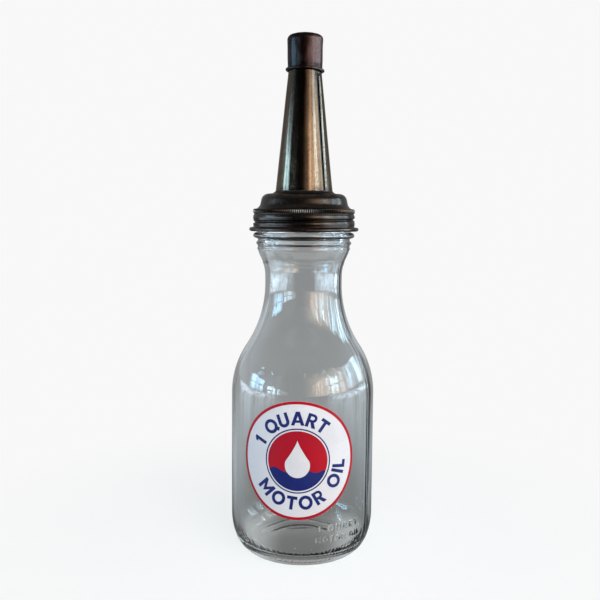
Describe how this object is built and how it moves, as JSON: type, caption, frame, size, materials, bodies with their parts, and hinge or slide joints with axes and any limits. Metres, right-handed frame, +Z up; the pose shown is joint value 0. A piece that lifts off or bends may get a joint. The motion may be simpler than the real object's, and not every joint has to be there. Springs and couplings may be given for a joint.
{
  "type": "glass oil bottle",
  "caption": "Clear glass oil bottle with a narrow waist, a round front label, a screw-on metal collar with a tall tapered pour spout, and a slip-on tip cap",
  "frame": {"origin": "centre of the base, on the surface the bottle stands on", "axes": "+Z up along the bottle's axis; -Y is the front, with the label; +X to the right seen from the front"},
  "size_m": [0.1016, 0.1018, 0.3635],
  "materials": {
    "glass": "clear, gloss",
    "label": "printed, semi-gloss",
    "gasket": "matte",
    "collar_metal": "darkened tinplate, semi-gloss",
    "spout_metal": "darkened tinplate, worn, semi-gloss",
    "solder": "dull, rough",
    "cap_metal": "dark, worn, semi-gloss",
    "cork": "matte cork"
  },
  "bodies": {
    "bottle": {"glass_bottle": "glass", "label_decal": "label"},
    "gasket": {"seal_gasket": "gasket"},
    "spout": {"collar_shell": "collar_metal", "spout_cone": "spout_metal", "solder_bead": "solder"},
    "cap": {"tip_cap": "cap_metal", "cap_liner": "cork"}
  },
  "joints": [
    {"name": "gasket_lift", "type": "slide", "parent": "bottle", "child": "gasket", "axis": [0, 0, 1], "range_m": [0, 0.0054]},
    {"name": "spout_unscrew", "type": "hinge", "parent": "gasket", "child": "spout", "pos_m": [0, 0, 0.236], "axis": [0, 0, 1], "range_deg": [0, 450]},
    {"name": "cap_pull", "type": "slide", "parent": "spout", "child": "cap", "axis": [0, 0, 1], "range_m": [0, 0.025]}
  ],
  "couplings": [
    {"joint": "gasket_lift", "follows": "spout_unscrew", "m_per_rad": 0.0006737}
  ]
}
